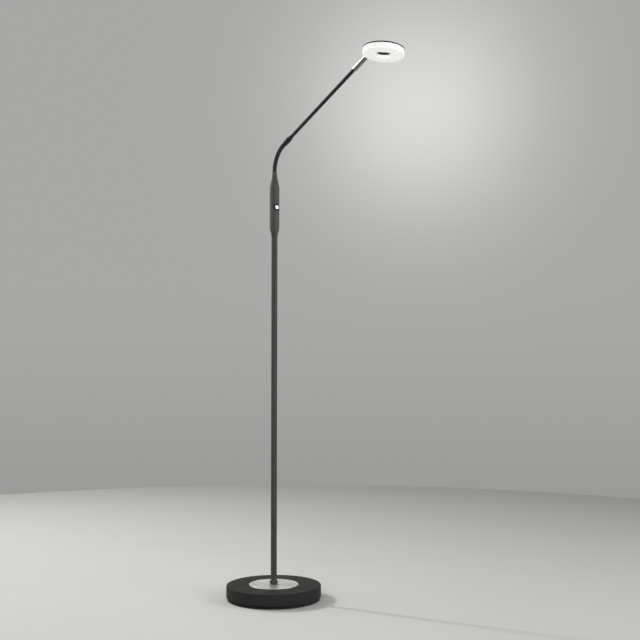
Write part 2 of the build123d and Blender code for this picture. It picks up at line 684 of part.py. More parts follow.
def hinge_bracket():
    """The tongue on the tilt pin and the plate that it carries inside the shell."""
    thick = (-TONGUE_HALF_WIDTH, TONGUE_HALF_WIDTH)
    wide = (-BRACKET_HALF_WIDTH, BRACKET_HALF_WIDTH)
    eye = ALONG_Y * Cylinder(EYE_RADIUS, 2 * TONGUE_HALF_WIDTH)
    tongue = block((0, TONGUE_SHOULDER_X), thick, (SHELL_BOTTOM, TONGUE_TOP))
    tongue = tongue + block((0, TONGUE_LENGTH), thick, (SHELL_BOTTOM, SHELL_CEILING))
    plate = block((BRACKET_START_X, BRACKET_END_X), wide, (SHELL_BOTTOM, SHELL_CEILING))
    pin_bore = ALONG_Y * Cylinder(PIN_RADIUS + RUNNING_FIT, 2 * EYE_RADIUS)
    screw_hole = rod(BRACKET_SCREW_RADIUS + FIT, SHELL_BOTTOM, SHELL_TOP)
    return HEAD_FRAME * cut_all(eye + tongue + plate, [pin_bore] + on_bracket_screws(screw_hole))


def bracket_screws():
    """Two screws whose heads sit in the board's clearance holes."""
    head = rod(BRACKET_SCREW_HEAD_RADIUS, SHELL_BOTTOM - 1.4, SHELL_BOTTOM)
    shank = rod(BRACKET_SCREW_RADIUS, SHELL_BOTTOM, BRACKET_SCREW_TIP)
    return Compound([HEAD_FRAME * screw for screw in on_bracket_screws(head + shank)])


# ---- Head ----

def on_board_screws(piece):
    return around(piece, BOARD_SCREW_CIRCLE, even_angles(BOARD_SCREW_COUNT), HEAD_CENTRE_X)


def head_shell():
    """A shallow dish with posts for the board, screw holes and a notch for the tongue."""
    shell = Pos(X=HEAD_CENTRE_X) * rounded_drum(SHELL_RADIUS, SHELL_BOTTOM, SHELL_TOP, SHELL_EDGE_ROUND)
    cavity = Pos(X=HEAD_CENTRE_X) * rod(SHELL_INNER_RADIUS, SHELL_BOTTOM, SHELL_CEILING)
    cavity = cut_all(cavity, on_board_screws(rod(POST_RADIUS, SHELL_BOTTOM, SHELL_CEILING)))
    half = TONGUE_HALF_WIDTH + 0.1
    notch = block((0, TONGUE_LENGTH + LOOSE), (-half, half), (SHELL_BOTTOM, SHELL_CEILING))
    holes = on_board_screws(rod(BOARD_SCREW_RADIUS + FIT, SHELL_BOTTOM, BOARD_SCREW_TIP + 0.1))
    holes += on_bracket_screws(rod(BRACKET_SCREW_RADIUS + FIT, SHELL_CEILING, BRACKET_SCREW_TIP + 0.1))
    return HEAD_FRAME * cut_all(shell, [cavity, notch] + holes)


def led_board():
    """A ring of board round the well."""
    opening = WELL_RADIUS + WELL_WALL + LOOSE
    board = Pos(X=HEAD_CENTRE_X) * tube(BOARD_RADIUS, opening, BOARD_BOTTOM, SHELL_BOTTOM)
    holes = on_board_screws(rod(BOARD_SCREW_RADIUS + 0.1, BOARD_BOTTOM, SHELL_BOTTOM))
    holes += on_bracket_screws(rod(BRACKET_SCREW_HEAD_RADIUS + LOOSE, BOARD_BOTTOM, SHELL_BOTTOM))
    return HEAD_FRAME * cut_all(board, holes)


def leds():
    """Two rings of packages under the board, clear of the bracket screws."""
    package = Pos(Z=BOARD_BOTTOM - LED_HEIGHT / 2) * Box(LED_WIDTH, LED_LENGTH, LED_HEIGHT)
    pieces = []
    for radius, count in LED_RINGS:
        half_step = 180.0 / count
        pieces += around(package, radius, even_angles(count, half_step), HEAD_CENTRE_X)
    return Compound([HEAD_FRAME * piece for piece in pieces])


def board_screws():
    """Three screws with slightly domed heads under the board."""
    shank, head = BOARD_SCREW_RADIUS, BOARD_SCREW_HEAD_RADIUS
    screw = turned([
        (0, BOARD_BOTTOM - 1.4), (head - 0.7, BOARD_BOTTOM - 1.4), (head, BOARD_BOTTOM - 0.8),
        (head, BOARD_BOTTOM), (shank, BOARD_BOTTOM), (shank, BOARD_SCREW_TIP), (0, BOARD_SCREW_TIP),
    ])
    return Compound([HEAD_FRAME * piece for piece in on_board_screws(screw)])


def diffuser():
    """An opal trough round the well, with a locating rim that enters the shell."""
    outer = DIFFUSER_RADIUS
    inner = DIFFUSER_RADIUS - DIFFUSER_WALL
    well_back = WELL_RADIUS + WELL_WALL
    floor_top = FACE_BOTTOM + DIFFUSER_WALL
    rim = SHELL_INNER_RADIUS - 0.1
    rim_top = SHELL_BOTTOM + DIFFUSER_RIM_HEIGHT
    rim_inner = rim - DIFFUSER_RIM_WALL
    round_start = (outer - FACE_EDGE_ROUND, FACE_BOTTOM)
    round_end = (outer, FACE_BOTTOM + FACE_EDGE_ROUND)
    edge = TangentArc(round_start, round_end, tangent=(1, 0))
    rest = Polyline(
        round_end, (outer, SHELL_BOTTOM), (rim, SHELL_BOTTOM), (rim, rim_top), (rim_inner, rim_top),
        (rim_inner, SHELL_BOTTOM - 0.5), (inner, SHELL_BOTTOM - 2.0),
        (inner, floor_top + DIFFUSER_INNER_CHAMFER), (inner - DIFFUSER_INNER_CHAMFER, floor_top),
        (well_back, floor_top), (well_back, WELL_WALL_TOP), (WELL_RADIUS, WELL_WALL_TOP),
        (WELL_RADIUS, FACE_BOTTOM + 0.6), (WELL_RADIUS + 0.6, FACE_BOTTOM), round_start)
    notch_half = TONGUE_HALF_WIDTH + 1.0
    bracket_notch = block((0, TONGUE_LENGTH), (-notch_half, notch_half), (SHELL_BOTTOM, SHELL_TOP))
    return HEAD_FRAME * (Pos(X=HEAD_CENTRE_X) * turned_edges([edge, rest]) - bracket_notch)


def centre_ring():
    ring = tube(WELL_RADIUS + WELL_WALL, WELL_RADIUS, WELL_WALL_TOP, CENTRE_DISC_BOTTOM)
    return HEAD_FRAME * Pos(X=HEAD_CENTRE_X) * ring


def centre_disc():
    disc = rod(WELL_RADIUS + WELL_WALL, CENTRE_DISC_BOTTOM, SHELL_CEILING)
    return HEAD_FRAME * Pos(X=HEAD_CENTRE_X) * disc


# ---- All nodes ----

PIECES = [
    foot_pad, bottom_plate, bottom_plate_screws, base_weight, base_cover, cable_inlet_grommet,
    trim_disc, pole_collar, threaded_stem, stem_washer, stem_nut,
    pole_tube, pole_lower_insert, supply_lead, pole_top_ferrule,
    grip_lower_cap, grip_set_screw, grip_housing, grip_upper_cap, board_carrier, dimmer_board,
    board_components, push_switch, button_bezel, dimmer_button, grip_lead,
    neck_base_ferrule, gooseneck_root, gooseneck_tip, neck_top_ferrule,
    arm_tube, arm_end_plug, arm_lead,
    head_sleeve, swivel_screw, tilt_pin, friction_washers, hinge_bracket, bracket_screws,
    head_shell, led_board, leds, board_screws, diffuser, centre_ring, centre_disc,
]


def all_nodes():
    nodes = {piece.__name__: piece() for piece in PIECES}
    for number in range(1, NECK_JOINTS):
        nodes[f"gooseneck_link_{number}"] = gooseneck_link(number)
    return nodes


os.makedirs("parts", exist_ok=True)
for name, solid in all_nodes().items():
    export_step(solid, f"parts/{name}.step")
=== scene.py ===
"""Looks for the gooseneck reading floor lamp, in metres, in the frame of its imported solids."""
import json
import math

import bmesh
import bpy
from mathutils import Matrix, Vector


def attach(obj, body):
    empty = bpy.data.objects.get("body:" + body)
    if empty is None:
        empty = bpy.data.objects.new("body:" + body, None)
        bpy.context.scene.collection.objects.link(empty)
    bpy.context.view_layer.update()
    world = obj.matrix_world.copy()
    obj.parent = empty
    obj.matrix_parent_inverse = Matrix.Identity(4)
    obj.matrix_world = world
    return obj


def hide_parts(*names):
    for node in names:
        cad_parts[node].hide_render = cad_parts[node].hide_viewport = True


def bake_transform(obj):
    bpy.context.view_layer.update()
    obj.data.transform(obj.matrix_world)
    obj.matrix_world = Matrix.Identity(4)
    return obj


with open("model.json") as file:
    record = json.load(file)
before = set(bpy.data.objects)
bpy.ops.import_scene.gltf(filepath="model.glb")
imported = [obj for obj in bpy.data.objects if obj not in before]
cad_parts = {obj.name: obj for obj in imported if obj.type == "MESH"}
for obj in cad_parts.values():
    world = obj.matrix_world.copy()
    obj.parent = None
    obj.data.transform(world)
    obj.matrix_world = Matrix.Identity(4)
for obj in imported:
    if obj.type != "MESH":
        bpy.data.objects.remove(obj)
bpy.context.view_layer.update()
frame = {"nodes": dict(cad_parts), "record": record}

MM = 0.001
NEVER_ZERO = 0.01
WELD_DISTANCE = 1e-7

# Sides of the turned pieces
BASE_SIDES = 256
HEAD_SIDES = 192
PIECE_SIDES = 128
SCREW_SIDES = 40
TOOL_SIDES = 48

# Sockets of the mix node: its two inputs and its result, as numbers and as colours
MIX_FIRST, MIX_SECOND, MIX_RESULT = 2, 3, 0
MIX_FIRST_COLOUR, MIX_SECOND_COLOUR, MIX_RESULT_COLOUR = 6, 7, 2

# Stand, in millimetres above the floor and from the pole's axis
BASE_RADIUS = 125.0
BASE_TOP = 38.0
COVER_BOTTOM = 8.0
COVER_WALL = 1.2
COVER_ROUND = 2.5
HEM_ROUND = 0.5
STEM_HOLE_RADIUS = 5.3
INLET_Z = 15.0
INLET_HOLE_RADIUS = 5.0
INLET_TOOL_REACH = 5
TRIM_RADIUS = 65.0
TRIM_TOP = 39.2

# Trim disc: a lip at its rim and a turned groove, by their distances in from the rim
TRIM_LIP_WIDTH = 1.6
TRIM_LIP_DROP = 0.1
TRIM_GROOVE_OUTER = 1.9
TRIM_GROOVE_INNER = 2.3
TRIM_GROOVE_END = 2.6
TRIM_GROOVE_DEPTH = 0.3

# Pole and the collar at its foot
POLE_RADIUS = 8.0
POLE_BORE = POLE_RADIUS + 0.05
COLLAR_RADIUS = 11.2
COLLAR_FOOT_RADIUS = 9.0
COLLAR_NECK_RADIUS = 8.5
COLLAR_HEIGHT = 10.3
COLLAR_STEPS = 16

# Grip, with a fine gap at each seam
FERRULE_BOTTOM = 961.0
FERRULE_FOOT_RADIUS = 8.4
FERRULE_TOP_RADIUS = 9.8
FERRULE_TAPER_END = 0.6
FERRULE_GAP = 0.1
LOWER_CAP_BOTTOM = 974.0
GRIP_TOP = 1094.0
GRIP_RADIUS = 13.0
GRIP_GAP = 0.15
UPPER_CAP_TOP = 1123.5
UPPER_CAP_END = 6.95
UPPER_CAP_BORE = 5.05
UPPER_CAP_BORE_FROM = 8
UPPER_CAP_SPIGOT = 8.0
UPPER_CAP_SPIGOT_RADIUS = 11.25
UPPER_CAP_SPIGOT_BORE = 9.5
UPPER_CAP_SPIGOT_BORE_TO = 4
NECK_FERRULE_GAP = 0.12
NECK_FERRULE_FOOT_RADIUS = 6.9
NECK_FERRULE_TOP_RADIUS = 6.1
NECK_FERRULE_SPIGOT = 20.0
NECK_FERRULE_SPIGOT_RADIUS = 5.0
NECK_FERRULE_BORE = 3.2
HOSE_SOCKET_RADIUS = 5.7
HOSE_SOCKET_DEPTH = 9.0
BUTTON_Z = 1039.5
BUTTON_TURN = -10.0

# Set screws: radius, and distance of each end from the axis of what the screw sits in
SET_SCREW_Z = 981.0
GRIP_SCREW = (2.0, POLE_RADIUS + 0.02, 11.6)
SWIVEL_SCREW_AT = 340.9
SWIVEL_SCREW = (1.5, 3.5, 6.5)
HEX_SHARE = 0.52
HEX_DEPTH_SHARE = 0.9

# Flexible neck and arm
NECK_BOTTOM = 1137.5
NECK_BEND_RADIUS = 74.0
NECK_BEND = 63.5
NECK_JOINTS = 8
HOSE_CREST = 5.65
HOSE_VALLEY = 5.0
HOSE_BORE = 3.4
HOSE_TURNS = 40
HOSE_IN_FERRULE = 6.0
HOSE_RIM_POINTS = 56
HOSE_ROWS_PER_TURN = 12
HOSE_BORE_ROWS = 8
HOSE_SHARP_ANGLE = 75.0
PIVOT_AT = 366.0

# Ferrule at the arm's foot: radius, distance along the arm, and the corner's own radius
ARM_FERRULE_OUTLINE = (
    (5.72, 0), (5.95, 0, 0.1), (6.3, 1.5, 0.5), (7.1, 18.0, 3.0), (7.1, 25.2), (6.6, 26.0),
    (6.0, 26.0, 0.15), (6.0, 31.0, 1.5), (4.95, 36.0, 0.2), (4.65, 36.0), (4.65, 12.0),
    (2.5, 12.0), (2.5, 9.0), (5.72, 9.0),
)

# Head, from the tilt pin
HEAD_SWIVEL = -6.5
HEAD_TILT = 26.5
HEAD_CENTRE = 61.7
SHELL_BOTTOM = -2.2
FACE_BOTTOM = -15.0
FACE_EDGE_ROUND = 3.5
DIFFUSER_RADIUS = 50.15
DIFFUSER_WALL = 2.0
DIFFUSER_INNER_ROUND = 1.5
DIFFUSER_LIGHT_FROM = 1.0
WELL_RADIUS = 20.0
WELL_WALL = 2.0
WELL_WALL_TOP = -6.6

# Finish: how strongly each coat mirrors, and the light of the opal acrylic and its fall-off
BASE_SHEEN = 0.06
COAT_SHEEN = 0.26
OPAL_GLOW = 0.39
OPAL_TINT = (1.0, 0.99, 0.965)
OPAL_RIM_FROM = 0.94
OPAL_RIM_LIGHT = 0.74
OPAL_SIDE_LIGHT = 0.88
OPAL_SPOT_LIGHT = (1.01, 0.99)
OPAL_SPOTS_PER_METRE = 110.0

# Camera, fitted to the edges of base, disc, pole, grip, neck, arm and head
CAMERA_PLACE = (2.1650, -1.6570, 0.6123)
CAMERA_HEADING = 50.0
CAMERA_PITCH = 2.63
CAMERA_LENS = 57.33
CAMERA_SENSOR = 36.0

# Floor, in metres from the pole's axis, with shade painted into its colour away from the lamp
FLOOR_RADIUS = 2.6
FLOOR_PALE_TO = 0.35
FLOOR_SIDES = 160
FLOOR_COLOUR = (0.61, 0.61, 0.60)
FLOOR_ROUGHNESS = 0.75
FLOOR_PAINTED_SHADE_SHARE = 0.72

# Wall that the camera sees: tone at a sine of elevation, low and high, and a painted pool of the
# lamp's light on it
ROOM_TINT = (1.0, 0.994, 0.978)
WALL_LOW, WALL_LOW_TONE = -0.20, 0.31
WALL_HIGH, WALL_HIGH_TONE = 0.08, 0.395
PAINTED_GLOW_TOWARDS = (-0.677, 0.692, 0.250)
PAINTED_GLOW_SPREAD = 0.0056
PAINTED_GLOW_LIGHT = 0.32

# Room that the lamp mirrors: bright away from the camera, dim towards it and dimmer below
ROOM_BRIGHT_FROM, ROOM_BRIGHT = -0.3, 0.44
ROOM_DIM_FROM, ROOM_DIM = 0.75, 0.07
ROOM_LOW_FROM, ROOM_LOW = -0.75, 0.45
ROOM_LEVEL_FROM = 0.1

# Lights: name, place, height of the point aimed at, width, watts, colour, shown in mirrors
DAYLIGHT = (1.0, 0.99, 0.97)
WHITE = (1.0, 1.0, 1.0)
LIGHTS = (
    ("sun_left", (-2.82, -1.02, 2.55), 0.3, 0.16, 56.0, DAYLIGHT, False),
    ("window_left", (-2.25, -0.80, 2.1), 0.5, 1.5, 22.0, DAYLIGHT, True),
    ("room_right", (2.65, 1.35, 1.5), 0.8, 1.8, 36.0, WHITE, True),
    ("front_left", (-1.7, -2.3, 2.0), 0.7, 1.6, 16.0, WHITE, True),
    ("front_fill", (2.2, -2.1, 1.0), 0.6, 2.0, 46.0, WHITE, False),
)

NECK_LENGTH = NECK_BEND_RADIUS * math.radians(NECK_BEND)
HOSE_PITCH = NECK_LENGTH / HOSE_TURNS


# ---- Frames, in metres ----

def shift(x=0.0, y=0.0, z=0.0):
    return Matrix.Translation(Vector((x, y, z)) * MM)


def turn(angle, axis):
    return Matrix.Rotation(math.radians(angle), 4, axis)


def neck_frame(along):
    """Place and direction of the neck's centre line, with Z along it, at a length from its start."""
    bent = min(max(along, 0.0), NECK_LENGTH)
    angle = bent / NECK_BEND_RADIUS
    across = NECK_BEND_RADIUS * (1 - math.cos(angle))
    up = NECK_BEND_RADIUS * math.sin(angle)
    on_arc = shift(across, 0, NECK_BOTTOM + up) @ Matrix.Rotation(angle, 4, "Y")
    return on_arc @ shift(z=along - bent)


STAND_FRAME = Matrix.Identity(4)
ARM_FRAME = neck_frame(NECK_LENGTH)
SLEEVE_FRAME = ARM_FRAME @ shift(z=PIVOT_AT) @ turn(HEAD_SWIVEL, "Z")
HEAD_FRAME = SLEEVE_FRAME @ turn(HEAD_TILT - 90, "Y")
DISC_FRAME = HEAD_FRAME @ shift(x=HEAD_CENTRE)
BUTTON_FRAME = shift(z=BUTTON_Z) @ turn(BUTTON_TURN, "Z") @ turn(90, "Y")
SET_SCREW_FRAME = shift(z=SET_SCREW_Z) @ turn(BUTTON_TURN + 180, "Z") @ turn(90, "Y")


# ---- Node materials ----

class Look:
    """A material with a principled shader and short calls for the nodes in front of it."""

    def __init__(self, name, colour, roughness, metallic=0.0, frame_matrix=STAND_FRAME):
        self.material = bpy.data.materials.new(name)
        self.material.use_nodes = True
        self.tree = self.material.node_tree
        self.shader = self.tree.nodes["Principled BSDF"]
        self.shader.inputs["Base Color"].default_value = (*colour, 1.0)
        self.shader.inputs["Roughness"].default_value = roughness
        self.shader.inputs["Metallic"].default_value = metallic
        self.colour = colour
        self.roughness = roughness
        self.frame_matrix = frame_matrix

    def node(self, kind, **values):
        made = self.tree.nodes.new(kind)
        for name, value in values.items():
            setattr(made, name, value)
        return made

    def link(self, source, target):
        self.tree.links.new(source, target)

    def place(self, stretch=(1.0, 1.0, 1.0)):
        """Object coordinates turned into the piece's own frame and stretched."""
        coordinates = self.node("ShaderNodeTexCoord")
        back = self.frame_matrix.inverted()
        moved = self.node("ShaderNodeMapping")
        moved.inputs["Location"].default_value = back.translation
        moved.inputs["Rotation"].default_value = back.to_euler("XYZ")
        self.link(coordinates.outputs["Object"], moved.inputs["Vector"])
        scaled = self.node("ShaderNodeVectorMath", operation="MULTIPLY")
        scaled.inputs[1].default_value = stretch
        self.link(moved.outputs["Vector"], scaled.inputs[0])
        return scaled.outputs["Vector"]

    def noise(self, place, scale, detail=3.0, rough=0.5):
        """Noise with a scale in features per metre."""
        made = self.node("ShaderNodeTexNoise")
        made.inputs["Scale"].default_value = scale
        made.inputs["Detail"].default_value = detail
        made.inputs["Roughness"].default_value = rough
        self.link(place, made.inputs["Vector"])
        return made.outputs["Fac"]

    def cells(self, place, scale):
        """Distance to the nearest cell's centre, with a scale in cells per metre."""
        made = self.node("ShaderNodeTexVoronoi")
        made.inputs["Scale"].default_value = scale
        self.link(place, made.inputs["Vector"])
        return made.outputs["Distance"]

    def math(self, operation, first, second=None):
        made = self.node("ShaderNodeMath", operation=operation)
        for value, socket in zip((first, second), made.inputs):
            if isinstance(value, (int, float)):
                socket.default_value = value
            elif value is not None:
                self.link(value, socket)
        return made.outputs[0]

    def spread(self, factor, low, high, from_low=0.3, from_high=0.7):
        """Carries a factor from one range of numbers to another, without running past its ends."""
        made = self.node("ShaderNodeMapRange")
        made.inputs["From Min"].default_value = from_low
        made.inputs["From Max"].default_value = from_high
        made.inputs["To Min"].default_value = low
        made.inputs["To Max"].default_value = high
        self.link(factor, made.inputs["Value"])
        return made.outputs["Result"]

    def tint(self, factor, dark=0.8, light=1.2):
        """Varies the base colour between a darker and a lighter shade of itself."""
        ramp = self.node("ShaderNodeValToRGB")
        ramp.color_ramp.elements[0].position = 0.3
        ramp.color_ramp.elements[1].position = 0.7
        for element, share in zip(ramp.color_ramp.elements, (dark, light)):
            element.color = (*[min(1.0, c * share) for c in self.colour], 1.0)
        self.link(factor, ramp.inputs["Fac"])
        return ramp.outputs["Color"]

    def blend(self, factor, first, second):
        """A mix of two colours; the second may be a plain colour."""
        mix = self.node("ShaderNodeMix", data_type="RGBA")
        self.link(factor, mix.inputs["Factor"])
        self.link(first, mix.inputs[MIX_FIRST_COLOUR])
        if isinstance(second, tuple):
            mix.inputs[MIX_SECOND_COLOUR].default_value = (*second, 1.0)
        else:
            self.link(second, mix.inputs[MIX_SECOND_COLOUR])
        return mix.outputs[MIX_RESULT_COLOUR]

    def colour_from(self, socket):
        self.link(socket, self.shader.inputs["Base Color"])

    def roughness_from(self, factor, spread):
        low, high = self.roughness - spread, self.roughness + spread
        self.link(self.spread(factor, low, high), self.shader.inputs["Roughness"])

    def bump(self, height, depth, strength=1.0):
        """Relief of a real depth in millimetres."""
        made = self.node("ShaderNodeBump")
        made.inputs["Strength"].default_value = strength
        made.inputs["Distance"].default_value = depth * MM
        self.link(height, made.inputs["Height"])
        self.link(made.outputs["Normal"], self.shader.inputs["Normal"])

    def set(self, **values):
        for name, value in values.items():
            self.shader.inputs[name.replace("_", " ")].default_value = value
        return self


def height_and_radius(look):
    """Height and distance from the axis of a point in the look's own frame, in metres."""
    split = look.node("ShaderNodeSeparateXYZ")
    look.link(look.place(), split.inputs["Vector"])
    square_x = look.math("MULTIPLY", split.outputs["X"], split.outputs["X"])
    square_y = look.math("MULTIPLY", split.outputs["Y"], split.outputs["Y"])
    radius = look.math("SQRT", look.math("ADD", square_x, square_y))
    return split.outputs["Z"], radius


def sand_coat(name, colour, roughness, grain=0.35, depth=0.05, frame_matrix=STAND_FRAME):
    """Textured powder coat: fine pebbles, cloudy tone and a rougher sheen in patches."""
    look = Look(name, colour, roughness, frame_matrix=frame_matrix)
    look.set(Specular_IOR_Level=BASE_SHEEN)
    place = look.place()
    pebbles = look.cells(place, 1.0 / (grain * MM))
    fine = look.noise(place, 0.6 / (grain * MM), 4.0, 0.6)
    cloud = look.noise(place, 28.0, 5.0, 0.6)
    relief = look.math("ADD", look.math("MULTIPLY", pebbles, 0.6), fine)
    paler = tuple(channel * 1.25 for channel in colour)
    look.colour_from(look.blend(look.spread(cloud, 0.0, 0.35), look.tint(fine, 0.82, 1.18), paler))
    look.roughness_from(cloud, 0.06)
    look.bump(relief, depth, 0.6)
    return look


def satin_coat(name, colour, roughness, frame_matrix=STAND_FRAME):
    """Smooth sprayed coat with a faint orange peel and handling marks."""
    look = Look(name, colour, roughness, frame_matrix=frame_matrix)
    look.set(Specular_IOR_Level=COAT_SHEEN)
    place = look.place()
    peel = look.noise(place, 420.0, 2.0, 0.4)
    cloud = look.noise(place, 35.0, 5.0, 0.65)
    marks = look.noise(look.place((1.0, 1.0, 0.08)), 900.0, 3.0, 0.7)
    look.colour_from(look.tint(cloud, 0.9, 1.12))
    look.roughness_from(look.math("MULTIPLY", look.math("ADD", cloud, marks), 0.5), 0.07)
    look.bump(peel, 0.02, 0.5)
    return look


def turned_metal(name, colour, roughness, lines=2600.0, depth=0.004, frame_matrix=STAND_FRAME):
    """Bright metal with the fine rings of turning along its own axis, and a few smudges."""
    look = Look(name, colour, roughness, 1.0, frame_matrix)
    rings = look.noise(look.place((0.004, 0.004, 1.0)), lines, 3.0, 0.7)
    smudges = look.noise(look.place(), 90.0, 4.0, 0.6)
    look.colour_from(look.tint(smudges, 0.94, 1.04))
    both = look.math("ADD", look.math("MULTIPLY", rings, 0.6), look.math("MULTIPLY", smudges, 0.4))
    look.roughness_from(both, roughness * 0.35)
    look.bump(rings, depth, 0.35)
    return look


def trim_metal():
    """Disc with concentric brushing: the grain runs round the pole's axis."""
    look = Look("brushed_nickel_disc", (0.95, 0.94, 0.92), 0.30, 0.76)
    _, radius = height_and_radius(look)
    grooves = look.node("ShaderNodeTexNoise", noise_dimensions="1D")
    grooves.inputs["Scale"].default_value = 4200.0
    grooves.inputs["Detail"].default_value = 4.0
    look.link(radius, grooves.inputs["W"])
    bands = look.node("ShaderNodeTexNoise", noise_dimensions="1D")
    bands.inputs["Scale"].default_value = 260.0
    look.link(radius, bands.inputs["W"])
    smudges = look.noise(look.place(), 45.0, 5.0, 0.6)
    brushed = look.tint(grooves.outputs["Fac"], 0.90, 1.06)
    look.colour_from(look.blend(look.spread(smudges, 0.0, 0.25), brushed, (0.80, 0.79, 0.78)))
    half_bands = look.math("MULTIPLY", bands.outputs["Fac"], 0.5)
    half_smudges = look.math("MULTIPLY", smudges, 0.5)
    look.roughness_from(look.math("ADD", half_bands, half_smudges), 0.05)
    look.bump(grooves.outputs["Fac"], 0.006, 0.35)
    look.set(Anisotropic=0.85)
    tangent = look.node("ShaderNodeTangent", direction_type="RADIAL", axis="Z")
    look.link(tangent.outputs["Tangent"], look.shader.inputs["Tangent"])
    return look


def rubber(name, colour):
    """Matt rubber with mould grain and a little dust."""
    look = Look(name, colour, 0.72)
    place = look.place()
    grain = look.noise(place, 1600.0, 4.0, 0.6)
    dust = look.noise(place, 60.0, 5.0, 0.7)
    look.colour_from(look.blend(look.spread(dust, 0.0, 0.3), look.tint(grain), (0.09, 0.085, 0.08)))
    look.roughness_from(dust, 0.1)
    look.bump(grain, 0.04, 0.6)
    return look


def moulded(name, colour, roughness, frame_matrix=STAND_FRAME, glow=0.0):
    """Moulded plastic: fine grain, flow marks, and light of its own where it is lit."""
    look = Look(name, colour, roughness, frame_matrix=frame_matrix)
    place = look.place()
    grain = look.noise(place, 2200.0, 3.0, 0.55)
    flow = look.noise(look.place((1.0, 0.4, 1.0)), 40.0, 4.0, 0.6)
    look.colour_from(look.tint(flow, 0.96, 1.03))
    look.roughness_from(flow, 0.05)
    look.bump(grain, 0.004 if glow else 0.012, 0.4)
    if glow:
        look.set(Emission_Strength=glow)
    return look


def opal():
    """Opal acrylic lit from behind, dimmer towards its rim and shell, with faint light spots."""
    look = moulded("opal_acrylic", (0.84, 0.84, 0.83), 0.36, DISC_FRAME, glow=OPAL_GLOW)
    height, radius = height_and_radius(look)
    rim_end = DIFFUSER_RADIUS * MM
    rim = look.spread(radius, 1.0, OPAL_RIM_LIGHT, rim_end * OPAL_RIM_FROM, rim_end)
    side_from, side_to = (FACE_BOTTOM + DIFFUSER_LIGHT_FROM) * MM, SHELL_BOTTOM * MM
    side = look.spread(height, 1.0, OPAL_SIDE_LIGHT, side_from, side_to)
    cells = look.cells(look.place(), OPAL_SPOTS_PER_METRE)
    spots = look.spread(cells, *OPAL_SPOT_LIGHT, 0.0, 1.0)
    light = look.math("MULTIPLY", look.math("MULTIPLY", rim, side), spots)
    shade = look.node("ShaderNodeCombineColor")
    for channel, share in zip(("Red", "Green", "Blue"), OPAL_TINT):
        look.link(look.math("MULTIPLY", light, share), shade.inputs[channel])
    look.link(shade.outputs["Color"], look.shader.inputs["Emission Color"])
    return look


def hose_metal():
    """Black coated hose with a fine grain and a cloudy tone."""
    look = Look("hose_black", (0.030, 0.030, 0.029), 0.52).set(Specular_IOR_Level=COAT_SHEEN)
    place = look.place()
    grain = look.noise(place, 1500.0, 3.0, 0.6)
    cloud = look.noise(place, 60.0, 4.0, 0.6)
    look.colour_from(look.tint(cloud, 0.85, 1.2))
    look.roughness_from(grain, 0.08)
    look.bump(grain, 0.015, 0.4)
    return look


def cast_metal(name, colour, roughness, metallic):
    """Rough inner metal: casting grain or plating bloom."""
    look = Look(name, colour, roughness, metallic)
    place = look.place()
    grain = look.noise(place, 500.0, 5.0, 0.65)
    bloom = look.noise(place, 40.0, 4.0, 0.6)
    look.colour_from(look.tint(bloom, 0.82, 1.12))
    look.roughness_from(grain, 0.09)
    look.bump(grain, 0.05, 0.5)
    return look


LOOKS = {
    # foot_rubber, black_iron and black_steel sit in the recess under the cover: their near-zero
    # tones are their black finish plus painted shade of that recess
    "foot_rubber": rubber("foot_rubber", (0.010, 0.010, 0.010)),
    "black_rubber": rubber("black_rubber", (0.028, 0.028, 0.028)),
    "zinc_steel": cast_metal("zinc_steel", (0.62, 0.63, 0.65), 0.38, 1.0),
    "black_iron": cast_metal("black_iron", (0.007, 0.007, 0.007), 0.70, 0.0),
    "black_steel": cast_metal("black_steel", (0.008, 0.008, 0.008), 0.60, 0.0),
    "base_coat": sand_coat("base_coat", (0.026, 0.026, 0.025), 0.50),
    "brushed_nickel": trim_metal(),
    "pole_coat": satin_coat("pole_coat", (0.056, 0.054, 0.052), 0.52),
    "grip_coat": satin_coat("grip_coat", (0.074, 0.072, 0.069), 0.52),
    "arm_coat": satin_coat("arm_coat", (0.022, 0.022, 0.021), 0.50, ARM_FRAME),
    "shell_coat": satin_coat("shell_coat", (0.022, 0.022, 0.022), 0.5, DISC_FRAME),
    "ring_black": satin_coat("ring_black", (0.03, 0.03, 0.03), 0.45, DISC_FRAME),
    "neck_black": hose_metal(),
    "brass": turned_metal("brass", (0.72, 0.56, 0.26), 0.28),
    "lead_sheath": moulded("lead_sheath", (0.03, 0.03, 0.03), 0.55),
    "black_oxide": turned_metal("black_oxide", (0.075, 0.075, 0.08), 0.38, 1400.0),
    "black_plastic": moulded("black_plastic", (0.035, 0.035, 0.035), 0.5),
    "circuit_board": moulded("circuit_board", (0.03, 0.16, 0.07), 0.35),
    "component_plastic": moulded("component_plastic", (0.09, 0.09, 0.10), 0.45),
    "bezel_black": moulded("bezel_black", (0.018, 0.018, 0.018), 0.28, BUTTON_FRAME),
    "button_chrome": turned_metal(
        "button_chrome", (0.80, 0.80, 0.79), 0.34, 3000.0, 0.002, BUTTON_FRAME),
    "bright_nickel": turned_metal(
        "bright_nickel", (0.84, 0.83, 0.81), 0.12, 2600.0, 0.003, SLEEVE_FRAME),
    "white_plastic": moulded("white_plastic", (0.80, 0.80, 0.79), 0.40, DISC_FRAME),
    "board_white": moulded("board_white", (0.88, 0.88, 0.87), 0.35, DISC_FRAME),
    "led_phosphor": moulded("led_phosphor", (0.95, 0.85, 0.45), 0.4, DISC_FRAME),
    "opal_acrylic": opal(),
}


def dress_solids():
    """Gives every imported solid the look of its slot."""
    for row in frame["record"]["subparts"]:
        solid = frame["nodes"][row["node"]]
        solid.data.materials.clear()
        solid.data.materials.append(LOOKS[row["material_slot"]].material)


# ---- Mesh pieces ----

